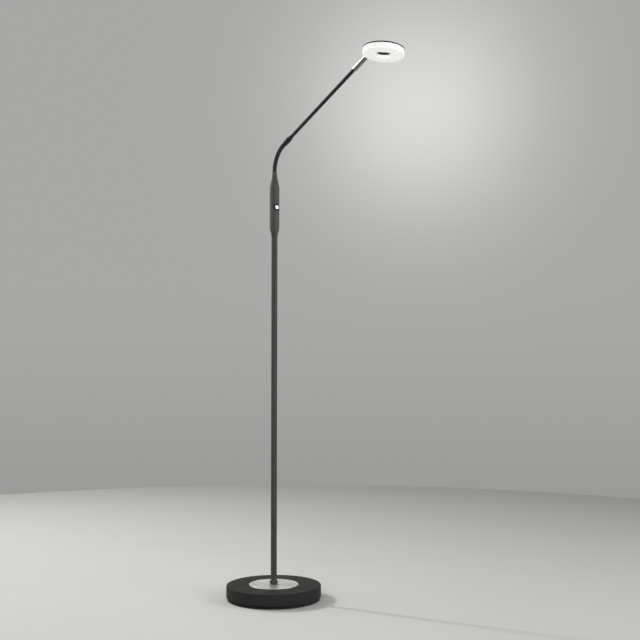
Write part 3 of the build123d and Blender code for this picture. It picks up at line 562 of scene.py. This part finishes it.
def new_piece(name, mesh, slot, body, sharp=35.0):
    """A smooth piece that takes its look from a slot and rides on a body."""
    mesh.shade_smooth()
    mesh.set_sharp_from_angle(angle=math.radians(sharp))
    mesh.materials.append(LOOKS[slot].material)
    piece = bpy.data.objects.new(name, mesh)
    bpy.context.scene.collection.objects.link(piece)
    if body:
        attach(piece, body)
    weighted = piece.modifiers.new("even_faces", "WEIGHTED_NORMAL")
    weighted.keep_sharp = True
    return piece


def mesh_from(name, points, faces):
    mesh = bpy.data.meshes.new(name)
    mesh.from_pydata([tuple(p) for p in points], [], faces)
    shape = bmesh.new()
    shape.from_mesh(mesh)
    bmesh.ops.remove_doubles(shape, verts=shape.verts, dist=WELD_DISTANCE)
    bmesh.ops.recalc_face_normals(shape, faces=shape.faces)
    shape.to_mesh(mesh)
    shape.free()
    return mesh


def rounded(outline, steps=6):
    """Rounds a closed outline of (radius, height); a third number is that corner's own radius."""
    corners = [Vector(corner[:2]) for corner in outline]
    rounds = [corner[2] if len(corner) > 2 else 0.0 for corner in outline]
    points = []
    for i, corner in enumerate(corners):
        if not rounds[i]:
            points.append(corner)
            continue
        back = (corners[i - 1] - corner).normalized()
        ahead = (corners[(i + 1) % len(corners)] - corner).normalized()
        half = back.angle(ahead) / 2
        reach = rounds[i] / math.tan(half)
        centre = corner + (back + ahead).normalized() * rounds[i] / math.sin(half)
        start, end = corner + back * reach - centre, corner + ahead * reach - centre
        sweep = math.atan2(start.x * end.y - start.y * end.x, start.dot(end))
        for step in range(steps + 1):
            angle = sweep * step / steps
            cosine, sine = math.cos(angle), math.sin(angle)
            across, up = start.x * cosine - start.y * sine, start.x * sine + start.y * cosine
            points.append(centre + Vector((across, up)))
    return points


def lathe(name, outline, slot, body, frame_matrix=STAND_FRAME, sides=PIECE_SIDES, stands_for=()):
    """A turned piece from a closed outline in millimetres."""
    profile = rounded(outline)
    points, faces = [], []
    for i in range(sides):
        angle = 2 * math.pi * i / sides
        for p in profile:
            on_ring = Vector((p.x * math.cos(angle), p.x * math.sin(angle), p.y)) * MM
            points.append(frame_matrix @ on_ring)
    count = len(profile)
    for i in range(sides):
        ahead = (i + 1) % sides
        for j in range(count):
            above = (j + 1) % count
            here, there = i * count, ahead * count
            faces.append((here + j, there + j, there + above, here + above))
    piece = new_piece(name, mesh_from(name, points, faces), slot, body)
    if stands_for:
        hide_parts(*stands_for)
    return piece


def circle_centre(first, second, third):
    """Centre of the circle through three points in a plane."""
    chord, far_chord = second - first, third - first
    cross = 2 * (chord.x * far_chord.y - chord.y * far_chord.x)
    near, far = chord.length_squared, far_chord.length_squared
    across = far_chord.y * near - chord.y * far
    up = chord.x * far - far_chord.x * near
    return first + Vector((across, up)) / cross


def cut_with(piece, *tools):
    """Cuts other pieces out of a piece and removes them."""
    for tool in tools:
        cut = piece.modifiers.new("cut", "BOOLEAN")
        cut.operation = "DIFFERENCE"
        cut.solver = "EXACT"
        cut.object = tool
        bpy.context.view_layer.objects.active = piece
        with bpy.context.temp_override(object=piece, active_object=piece):
            bpy.ops.object.modifier_move_to_index(modifier="cut", index=0)
            bpy.ops.object.modifier_apply(modifier="cut")
        bpy.data.objects.remove(tool)


# ---- Stand ----

def base_cover():
    """Deep-drawn cover with a rolled lower hem and the hole for the cable's inlet."""
    inner = BASE_RADIUS - COVER_WALL
    under = BASE_TOP - COVER_WALL
    cover = lathe("base_cover_drawn", [
        (STEM_HOLE_RADIUS, under), (STEM_HOLE_RADIUS, BASE_TOP),
        (BASE_RADIUS, BASE_TOP, COVER_ROUND), (BASE_RADIUS, COVER_BOTTOM, HEM_ROUND),
        (inner, COVER_BOTTOM, HEM_ROUND), (inner, under, COVER_ROUND - COVER_WALL),
    ], "base_coat", "lamp_stand", sides=BASE_SIDES)
    hole = INLET_HOLE_RADIUS
    low, high = -BASE_RADIUS - INLET_TOOL_REACH, -BASE_RADIUS + INLET_TOOL_REACH
    inlet = shift(z=INLET_Z) @ turn(90, "Y")
    tool = lathe("inlet_tool", [
        (NEVER_ZERO, low), (hole, low), (hole, high), (NEVER_ZERO, high),
    ], "base_coat", None, inlet, TOOL_SIDES)
    cut_with(cover, tool)
    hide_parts("base_cover")


def trim_disc():
    """Disc with a fine turned groove inside its rim."""
    rim, lip, bottom = TRIM_RADIUS, TRIM_TOP - TRIM_LIP_DROP, TRIM_TOP - TRIM_GROOVE_DEPTH
    outer, inner = rim - TRIM_GROOVE_OUTER, rim - TRIM_GROOVE_INNER
    lathe("trim_disc_turned", [
        (STEM_HOLE_RADIUS, BASE_TOP), (rim, BASE_TOP, 0.1), (rim, lip, 0.45),
        (rim - TRIM_LIP_WIDTH, lip, 0.3), (outer, bottom, 0.1), (inner, bottom, 0.1),
        (rim - TRIM_GROOVE_END, TRIM_TOP, 0.2), (STEM_HOLE_RADIUS, TRIM_TOP),
    ], "brushed_nickel", "lamp_stand", sides=BASE_SIDES, stands_for=["trim_disc"])


def pole_collar():
    """A squat ball round the pole's foot: its side is an arc through foot, waist and neck."""
    foot = Vector((COLLAR_FOOT_RADIUS, 0.0))
    waist = Vector((COLLAR_RADIUS, COLLAR_HEIGHT / 2))
    neck = Vector((COLLAR_NECK_RADIUS, COLLAR_HEIGHT))
    centre = circle_centre(foot, waist, neck)
    radius = (waist - centre).length
    low, high = (math.asin((end - centre).y / radius) for end in (foot, neck))
    side = []
    for i in range(COLLAR_STEPS + 1):
        angle = low + (high - low) * i / COLLAR_STEPS
        across, up = radius * math.cos(angle), radius * math.sin(angle)
        side.append((centre.x + across, TRIM_TOP + centre.y + up))
    outline = [(POLE_BORE, TRIM_TOP)] + side + [(POLE_BORE, TRIM_TOP + COLLAR_HEIGHT)]
    lathe("pole_collar_ball", outline, "pole_coat", "lamp_stand", stands_for=["pole_collar"])


def pole_ferrule():
    """Tapered ring under the grip."""
    taper_end, top = LOWER_CAP_BOTTOM - FERRULE_TAPER_END, LOWER_CAP_BOTTOM - FERRULE_GAP
    lathe("pole_ferrule_turned", [
        (POLE_BORE, FERRULE_BOTTOM), (FERRULE_FOOT_RADIUS, FERRULE_BOTTOM, 0.15),
        (FERRULE_TOP_RADIUS, taper_end, 0.4), (FERRULE_TOP_RADIUS, top, 0.1),
        (POLE_BORE, top),
    ], "pole_coat", "lamp_stand", stands_for=["pole_top_ferrule"])


def grip_cone():
    """Upper cone of the grip; a fine round at its seam draws the joint with the housing."""
    foot, seam = GRIP_TOP - UPPER_CAP_SPIGOT, GRIP_TOP + GRIP_GAP
    lathe("grip_upper_cone", [
        (UPPER_CAP_SPIGOT_BORE, foot), (UPPER_CAP_SPIGOT_RADIUS, foot),
        (UPPER_CAP_SPIGOT_RADIUS, seam), (GRIP_RADIUS, seam, 0.35),
        (UPPER_CAP_END, UPPER_CAP_TOP, 0.25), (UPPER_CAP_BORE, UPPER_CAP_TOP),
        (UPPER_CAP_BORE, GRIP_TOP + UPPER_CAP_BORE_FROM),
        (UPPER_CAP_SPIGOT_BORE, GRIP_TOP + UPPER_CAP_SPIGOT_BORE_TO),
    ], "grip_coat", "lamp_stand", stands_for=["grip_upper_cap"])


def neck_ferrule():
    """Ferrule that holds the hose in the grip's cone."""
    foot, seam = UPPER_CAP_TOP - NECK_FERRULE_SPIGOT, UPPER_CAP_TOP + NECK_FERRULE_GAP
    socket = NECK_BOTTOM - HOSE_SOCKET_DEPTH
    lathe("neck_ferrule_turned", [
        (NECK_FERRULE_BORE, foot), (NECK_FERRULE_SPIGOT_RADIUS, foot),
        (NECK_FERRULE_SPIGOT_RADIUS, seam), (NECK_FERRULE_FOOT_RADIUS, seam, 0.25),
        (NECK_FERRULE_TOP_RADIUS, NECK_BOTTOM, 0.4), (HOSE_SOCKET_RADIUS, NECK_BOTTOM, 0.1),
        (HOSE_SOCKET_RADIUS, socket), (NECK_FERRULE_BORE, socket),
    ], "grip_coat", "lamp_stand", stands_for=["neck_base_ferrule"])


def set_screw(name, frame_matrix, size, body, node):
    """A grub screw with a hexagon socket in its outer end."""
    radius, low, high = size
    screw = lathe(name, [
        (NEVER_ZERO, low), (radius, low, 0.1), (radius, high, 0.3), (NEVER_ZERO, high),
    ], "black_oxide", body, frame_matrix, SCREW_SIDES, [node])
    points = []
    socket = radius * HEX_SHARE
    for depth in (high - radius * HEX_DEPTH_SHARE, high + 1.0):
        for i in range(6):
            angle = math.radians(60 * i)
            corner = Vector((socket * math.cos(angle), socket * math.sin(angle), depth))
            points.append(frame_matrix @ (corner * MM))
    faces = [tuple(range(6)), tuple(range(6, 12))]
    faces += [(i, (i + 1) % 6, (i + 1) % 6 + 6, i + 6) for i in range(6)]
    tool = bpy.data.objects.new(name + "_socket", mesh_from(name + "_socket", points, faces))
    bpy.context.scene.collection.objects.link(tool)
    cut_with(screw, tool)


def set_screws():
    """The screw that clamps the grip, and the stop screw of the head's swivel."""
    swivel = SLEEVE_FRAME @ shift(z=SWIVEL_SCREW_AT - PIVOT_AT) @ turn(-90, "Y")
    set_screw("grip_grub_screw", SET_SCREW_FRAME, GRIP_SCREW, "lamp_stand", "grip_set_screw")
    set_screw("swivel_grub_screw", swivel, SWIVEL_SCREW, "head_hinge", "swivel_screw")


# ---- Flexible neck ----

def hose_radius(along, share_round):
    """Close turns of round wire: a half circle across each turn, winding along the hose."""
    phase = (along / HOSE_PITCH - share_round) % 1.0
    wire = math.sqrt(max(0.0, 1 - (2 * phase - 1) ** 2))
    return HOSE_VALLEY + (HOSE_CREST - HOSE_VALLEY) * wire


def hose_length(name, low, high):
    """A closed length of wound hose between two distances along the neck."""
    rows = max(2, round((high - low) / HOSE_PITCH * HOSE_ROWS_PER_TURN))
    loop = [(low + (high - low) * i / rows, True) for i in range(rows + 1)]
    back = range(HOSE_BORE_ROWS + 1)
    loop += [(high + (low - high) * i / HOSE_BORE_ROWS, False) for i in back]
    points, faces = [], []
    for along, outer in loop:
        section = neck_frame(along)
        for j in range(HOSE_RIM_POINTS):
            share = j / HOSE_RIM_POINTS
            radius = hose_radius(along, share) if outer else HOSE_BORE
            angle = 2 * math.pi * share
            on_rim = Vector((radius * math.cos(angle), radius * math.sin(angle), 0))
            points.append(section @ (on_rim * MM))
    for i in range(len(loop)):
        row, after = i * HOSE_RIM_POINTS, (i + 1) % len(loop) * HOSE_RIM_POINTS
        for j in range(HOSE_RIM_POINTS):
            beside = (j + 1) % HOSE_RIM_POINTS
            faces.append((row + j, row + beside, after + beside, after + j))
    return new_piece(name, mesh_from(name, points, faces), "neck_black", None, HOSE_SHARP_ANGLE)


def gooseneck():
    """The hose in lengths from the middle of one body to the middle of the next."""
    step = NECK_LENGTH / NECK_JOINTS
    for i in range(NECK_JOINTS):
        low = i * step if i else -HOSE_IN_FERRULE
        high = (i + 1) * step if i < NECK_JOINTS - 1 else NECK_LENGTH + HOSE_IN_FERRULE
        piece = hose_length(f"neck_hose_{i + 1}", low, high)
        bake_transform(piece)
        nodes = [f"gooseneck_link_{i + 1}"] if i < NECK_JOINTS - 1 else ["gooseneck_tip"]
        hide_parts(*(nodes + (["gooseneck_root"] if i == 0 else [])))


# ---- Arm and head ----

def arm_ferrule():
    lathe("arm_ferrule_turned", ARM_FERRULE_OUTLINE, "arm_coat", "arm", ARM_FRAME,
          stands_for=["neck_top_ferrule"])


def diffuser():
    """Opal trough round the well, with a generously rounded outer edge."""
    outer, inner, floor = DIFFUSER_RADIUS, DIFFUSER_RADIUS - DIFFUSER_WALL, FACE_BOTTOM
    well, back, inside = WELL_RADIUS, WELL_RADIUS + WELL_WALL, floor + DIFFUSER_WALL
    lathe("diffuser_opal", [
        (well, floor, 0.6), (outer, floor, FACE_EDGE_ROUND), (outer, SHELL_BOTTOM, 0.15),
        (inner, SHELL_BOTTOM), (inner, inside, DIFFUSER_INNER_ROUND), (back, inside),
        (back, WELL_WALL_TOP), (well, WELL_WALL_TOP, 0.2),
    ], "opal_acrylic", "head", DISC_FRAME, HEAD_SIDES, ["diffuser"])


# ---- Floor, light and camera ----

def view_direction():
    """The way the camera looks."""
    heading, pitch = math.radians(CAMERA_HEADING), math.radians(CAMERA_PITCH)
    level = math.cos(pitch)
    return Vector((-math.sin(heading) * level, math.cos(heading) * level, math.sin(pitch)))


def floor():
    """A plain round floor, pale round the lamp, with shade painted into its colour towards its rim.
    """
    mesh = bpy.data.meshes.new("floor")
    rim = [(FLOOR_RADIUS * math.cos(a), FLOOR_RADIUS * math.sin(a), 0.0)
           for a in (2 * math.pi * i / FLOOR_SIDES for i in range(FLOOR_SIDES))]
    mesh.from_pydata(rim, [], [tuple(range(FLOOR_SIDES))])
    ground = bpy.data.objects.new("floor", mesh)
    bpy.context.scene.collection.objects.link(ground)
    look = Look("floor_pale", FLOOR_COLOUR, FLOOR_ROUGHNESS)
    _, radius = height_and_radius(look)
    # painted shade: the floor's colour darkens with distance, standing for the light's fall-off
    far = look.spread(radius, 0.0, 1.0, FLOOR_PALE_TO, FLOOR_RADIUS)
    cloud = look.tint(look.noise(look.place(), 3.0, 4.0, 0.6), 0.985, 1.015)
    look.colour_from(look.blend(far, cloud, tuple(FLOOR_PAINTED_SHADE_SHARE * c for c in FLOOR_COLOUR)))
    mesh.materials.append(look.material)
    ground.visible_glossy = False


def softbox(name, place, aim_height, size, power, colour, mirrored):
    """A round light aimed at a height on the pole's axis."""
    light = bpy.data.lights.new(name, "AREA")
    light.shape = "DISK"
    light.size = size
    light.energy = power
    light.color = colour
    lamp = bpy.data.objects.new(name, light)
    lamp.location = place
    lamp.rotation_mode = "QUATERNION"
    aim = Vector((0, 0, aim_height)) - Vector(place)
    lamp.rotation_quaternion = aim.to_track_quat("-Z", "Y")
    lamp.visible_glossy = mirrored
    bpy.context.scene.collection.objects.link(lamp)


class Room:
    """The world's shader: a pale wall for the camera, and a room with a dim side for the lamp."""

    def __init__(self):
        world = bpy.data.worlds.new("room")
        bpy.context.scene.world = world
        world.use_nodes = True
        self.tree = world.node_tree
        self.ray = self.tree.nodes.new("ShaderNodeTexCoord").outputs["Generated"]

    def math(self, operation, first, second=0.0):
        made = self.tree.nodes.new("ShaderNodeMath")
        made.operation = operation
        for value, socket in zip((first, second), made.inputs):
            if isinstance(value, (int, float)):
                socket.default_value = value
            else:
                self.tree.links.new(value, socket)
        return made.outputs[0]

    def towards(self, direction):
        """Cosine between the ray and a direction."""
        made = self.tree.nodes.new("ShaderNodeVectorMath")
        made.operation = "DOT_PRODUCT"
        made.inputs[1].default_value = Vector(direction).normalized()
        self.tree.links.new(self.ray, made.inputs[0])
        return made.outputs["Value"]

    def ramp(self, value, from_low, from_high, low, high):
        """Carries a value smoothly from one range of numbers to another."""
        made = self.tree.nodes.new("ShaderNodeMapRange")
        made.interpolation_type = "SMOOTHSTEP"
        made.inputs["From Min"].default_value = from_low
        made.inputs["From Max"].default_value = from_high
        made.inputs["To Min"].default_value = low
        made.inputs["To Max"].default_value = high
        self.tree.links.new(value, made.inputs["Value"])
        return made.outputs["Result"]

    def wall(self):
        """Tone of the wall: a little darker near the floor, with a pool of the lamp's light painted
        on it.
        """
        up = self.towards((0, 0, 1))
        height = self.ramp(up, WALL_LOW, WALL_HIGH, WALL_LOW_TONE, WALL_HIGH_TONE)
        # painted glow: a pool of lamp light painted into the wall's tone, cast by no lamp
        away = self.math("SUBTRACT", 1.0, self.towards(PAINTED_GLOW_TOWARDS))
        glow = self.math("EXPONENT", self.math("DIVIDE", away, -PAINTED_GLOW_SPREAD))
        return self.math("ADD", height, self.math("MULTIPLY", glow, PAINTED_GLOW_LIGHT))

    def around(self):
        """What the lamp mirrors: bright behind it and above, dim towards the camera and below."""
        back = self.towards(-view_direction())
        level = self.ramp(back, ROOM_BRIGHT_FROM, ROOM_DIM_FROM, ROOM_BRIGHT, ROOM_DIM)
        up = self.towards((0, 0, 1))
        share = self.ramp(up, ROOM_LOW_FROM, ROOM_LEVEL_FROM, ROOM_LOW, 1.0)
        return self.math("MULTIPLY", level, share)

    def finish(self):
        background = self.tree.nodes["Background"]
        tone = self.tree.nodes.new("ShaderNodeMix")
        seen = self.tree.nodes.new("ShaderNodeLightPath").outputs["Is Camera Ray"]
        self.tree.links.new(seen, tone.inputs["Factor"])
        self.tree.links.new(self.around(), tone.inputs[MIX_FIRST])
        self.tree.links.new(self.wall(), tone.inputs[MIX_SECOND])
        background.inputs["Color"].default_value = (*ROOM_TINT, 1.0)
        self.tree.links.new(tone.outputs[MIX_RESULT], background.inputs["Strength"])


def camera():
    data = bpy.data.cameras.new("camera")
    data.lens = CAMERA_LENS
    data.sensor_width = CAMERA_SENSOR
    eye = bpy.data.objects.new("camera", data)
    eye.location = CAMERA_PLACE
    eye.rotation_mode = "QUATERNION"
    eye.rotation_quaternion = view_direction().to_track_quat("-Z", "Y")
    bpy.context.scene.collection.objects.link(eye)
    bpy.context.scene.camera = eye


dress_solids()
base_cover()
trim_disc()
pole_collar()
pole_ferrule()
grip_cone()
neck_ferrule()
set_screws()
gooseneck()
arm_ferrule()
diffuser()
floor()
Room().finish()
for settings in LIGHTS:
    softbox(*settings)
camera()
bpy.context.scene.view_settings.view_transform = "Standard"
